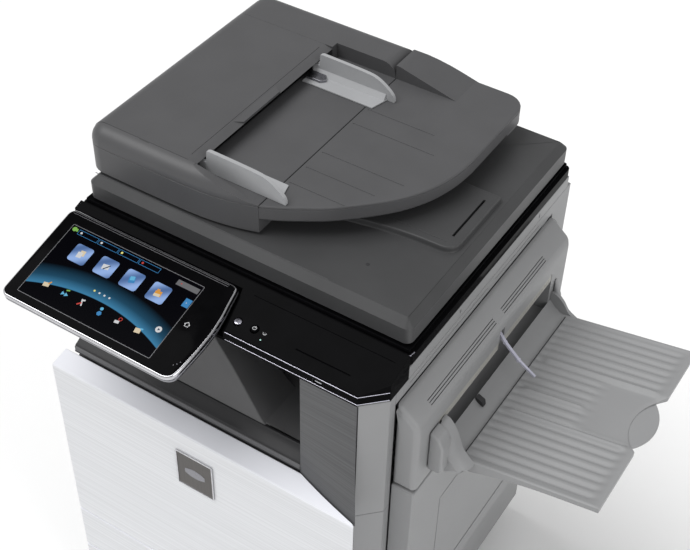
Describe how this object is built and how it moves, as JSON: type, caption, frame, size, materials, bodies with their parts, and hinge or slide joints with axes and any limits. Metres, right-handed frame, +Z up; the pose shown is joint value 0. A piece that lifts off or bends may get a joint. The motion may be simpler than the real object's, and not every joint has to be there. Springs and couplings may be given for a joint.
{
  "type": "photocopier",
  "caption": "Floor-standing office photocopier with scanner lid, document feeder, tilting touch panel, paper drawers, front and side doors and a side exit tray on casters.",
  "frame": {"origin": "on the floor, under the centre of the object's bounding box", "axes": "+X to the machine's right, -Y to its front where the touch panel is, +Z up"},
  "size_m": [0.9174, 0.7416, 1.114],
  "materials": {
    "white": "satin, fine brushed lines",
    "light_grey": "fine-textured moulded plastic",
    "mid_grey": "satin moulded plastic",
    "dark_grey": "fine-textured moulded plastic",
    "gloss_black": "high gloss",
    "display": "glass-fronted display",
    "guide_grey": "satin moulded plastic",
    "steel": "zinc-plated sheet",
    "frame_steel": "galvanised sheet frame",
    "rubber": "matte",
    "glass": "clear float glass",
    "pad_white": "white foam-backed film",
    "cyan": "moulded plastic",
    "magenta": "moulded plastic",
    "yellow": "moulded plastic",
    "ink_black": "moulded plastic",
    "clear": "clear moulding"
  },
  "bodies": {
    "root": {"base_frame": "frame_steel", "chassis": "frame_steel", "left_cover": "light_grey", "rear_cover": "light_grey", "power_inlet": "ink_black", "right_cover": "light_grey", "corner_cover": "light_grey", "front_right_panel": "mid_grey", "inner_exit_tray": "dark_grey", "inner_front_panel": "dark_grey", "toner_cartridge_yellow": "yellow", "toner_cartridge_magenta": "magenta", "toner_cartridge_cyan": "cyan", "toner_cartridge_black": "ink_black", "transfer_belt": "ink_black", "imaging_unit": "dark_grey", "laser_unit": "ink_black", "scanner_housing": "light_grey", "scanner_rim": "gloss_black", "platen_glass": "glass", "lid_hinge_left": "dark_grey", "lid_hinge_right": "dark_grey", "operation_bezel": "gloss_black", "panel_arm": "dark_grey", "right_exit_unit": "light_grey", "right_exit_tray": "light_grey"},
    "caster_left": {"front_caster_fork_left": "steel"},
    "caster_right": {"front_caster_fork_right": "steel"},
    "wheel_front_left": {"front_caster_wheel_left": "rubber"},
    "wheel_front_right": {"front_caster_wheel_right": "rubber"},
    "wheel_rear_left": {"rear_caster_wheel_left": "rubber"},
    "wheel_rear_right": {"rear_caster_wheel_right": "rubber"},
    "fuser": {"fuser_roller": "rubber"},
    "pressure": {"pressure_roller": "steel"},
    "lamp": {"lamp_carriage": "dark_grey"},
    "mirrors": {"mirror_carriage": "dark_grey"},
    "panel": {"control_panel": "gloss_black", "touch_screen": "display"},
    "power_push": {"power_key": "guide_grey"},
    "save_push": {"power_save_key": "guide_grey"},
    "door": {"front_cover": "white", "badge_plate": "steel"},
    "upper_drawer": {"drawer_1_front": "white", "drawer_1_tray": "mid_grey"},
    "upper_lift": {"drawer_1_lift_plate": "steel"},
    "lower_drawer": {"drawer_2_front": "white", "drawer_2_tray": "mid_grey"},
    "lower_lift": {"drawer_2_lift_plate": "steel"},
    "sensor": {"paper_sensor_arm": "clear"},
    "side_door": {"right_door": "light_grey"},
    "bypass": {"bypass_tray": "light_grey"},
    "lid": {"platen_cover": "dark_grey", "platen_pad": "pad_white", "feeder_base": "mid_grey", "feeder_tray": "mid_grey"},
    "feeder_lid": {"feeder_cover": "mid_grey"},
    "front_fence": {"front_guide": "guide_grey"},
    "rear_fence": {"rear_guide": "guide_grey"},
    "pickup": {"pickup_roller": "rubber"}
  },
  "joints": [
    {"name": "caster_swivel_left", "type": "hinge", "parent": "root", "child": "caster_left", "pos_m": [-0.39971, -0.159, 0.052], "axis": [0, 0, 1], "continuous": true},
    {"name": "wheel_spin_front_left", "type": "hinge", "parent": "caster_left", "child": "wheel_front_left", "pos_m": [-0.39971, -0.147, 0.02236], "axis": [1, 0, 0], "continuous": true},
    {"name": "wheel_spin_rear_left", "type": "hinge", "parent": "root", "child": "wheel_rear_left", "pos_m": [-0.39971, 0.301, 0.02236], "axis": [1, 0, 0], "continuous": true},
    {"name": "caster_swivel_right", "type": "hinge", "parent": "root", "child": "caster_right", "pos_m": [0.09029, -0.159, 0.052], "axis": [0, 0, 1], "continuous": true},
    {"name": "wheel_spin_front_right", "type": "hinge", "parent": "caster_right", "child": "wheel_front_right", "pos_m": [0.09029, -0.147, 0.02236], "axis": [1, 0, 0], "continuous": true},
    {"name": "wheel_spin_rear_right", "type": "hinge", "parent": "root", "child": "wheel_rear_right", "pos_m": [0.09029, 0.301, 0.02236], "axis": [1, 0, 0], "continuous": true},
    {"name": "fuser_spin", "type": "hinge", "parent": "root", "child": "fuser", "pos_m": [0.06729, 0.054, 0.64], "axis": [0, 1, 0], "continuous": true},
    {"name": "pressure_spin", "type": "hinge", "parent": "root", "child": "pressure", "pos_m": [0.10479, 0.054, 0.64], "axis": [0, 1, 0], "continuous": true},
    {"name": "lamp_slide", "type": "slide", "parent": "root", "child": "lamp", "axis": [1, 0, 0], "range_m": [0, 0.39]},
    {"name": "mirror_slide", "type": "slide", "parent": "root", "child": "mirrors", "axis": [1, 0, 0], "range_m": [0, 0.195]},
    {"name": "panel_tilt", "type": "hinge", "parent": "root", "child": "panel", "pos_m": [-0.28471, -0.292, 0.908], "axis": [1, 0, 0], "range_deg": [0, 45]},
    {"name": "power_key_push", "type": "slide", "parent": "root", "child": "power_push", "axis": [0, 0, -1], "range_m": [0, 0.0015], "stiffness_N_per_m": 400, "springref_m": -0.0005},
    {"name": "power_save_key_push", "type": "slide", "parent": "root", "child": "save_push", "axis": [0, 0, -1], "range_m": [0, 0.0015], "stiffness_N_per_m": 400, "springref_m": -0.0005},
    {"name": "front_door_hinge", "type": "hinge", "parent": "root", "child": "door", "pos_m": [-0.15471, -0.2885, 0.3105], "axis": [1, 0, 0], "range_deg": [0, 90]},
    {"name": "upper_drawer_slide", "type": "slide", "parent": "root", "child": "upper_drawer", "axis": [0, -1, 0], "range_m": [0, 0.4]},
    {"name": "lower_drawer_slide", "type": "slide", "parent": "root", "child": "lower_drawer", "axis": [0, -1, 0], "range_m": [0, 0.4]},
    {"name": "upper_lift_hinge", "type": "hinge", "parent": "upper_drawer", "child": "upper_lift", "pos_m": [-0.39971, 0.096, 0.2], "axis": [0, -1, 0], "range_deg": [0, 8]},
    {"name": "lower_lift_hinge", "type": "hinge", "parent": "lower_drawer", "child": "lower_lift", "pos_m": [-0.39971, 0.096, 0.085], "axis": [0, -1, 0], "range_deg": [0, 8]},
    {"name": "sensor_hinge", "type": "hinge", "parent": "root", "child": "sensor", "pos_m": [0.18329, 0.056, 0.837], "axis": [0, -1, 0], "range_deg": [0, 25]},
    {"name": "side_door_hinge", "type": "hinge", "parent": "root", "child": "side_door", "pos_m": [0.16979, 0.28, 0.5], "axis": [0, 0, 1], "range_deg": [0, 85]},
    {"name": "bypass_hinge", "type": "hinge", "parent": "side_door", "child": "bypass", "pos_m": [0.18529, 0.061, 0.359], "axis": [0, 1, 0], "range_deg": [0, 70]},
    {"name": "lid_hinge", "type": "hinge", "parent": "root", "child": "lid", "pos_m": [-0.15471, 0.354, 0.985], "axis": [-1, 0, 0], "range_deg": [0, 65]},
    {"name": "feeder_cover_hinge", "type": "hinge", "parent": "lid", "child": "feeder_lid", "pos_m": [-0.45271, 0.096, 1.059], "axis": [0, -1, 0], "range_deg": [0, 75]},
    {"name": "front_guide_slide", "type": "slide", "parent": "lid", "child": "front_fence", "axis": [0, 1, 0], "range_m": [0, 0.1]},
    {"name": "rear_guide_slide", "type": "slide", "parent": "lid", "child": "rear_fence", "axis": [0, -1, 0], "range_m": [0, 0.1]},
    {"name": "pickup_spin", "type": "hinge", "parent": "lid", "child": "pickup", "pos_m": [-0.30471, 0.051, 1.079], "axis": [0, 1, 0], "continuous": true}
  ],
  "couplings": [
    {"joint": "pressure_spin", "follows": "fuser_spin", "ratio": -1},
    {"joint": "mirror_slide", "follows": "lamp_slide", "ratio": 0.5},
    {"joint": "rear_guide_slide", "follows": "front_guide_slide", "ratio": 1}
  ]
}
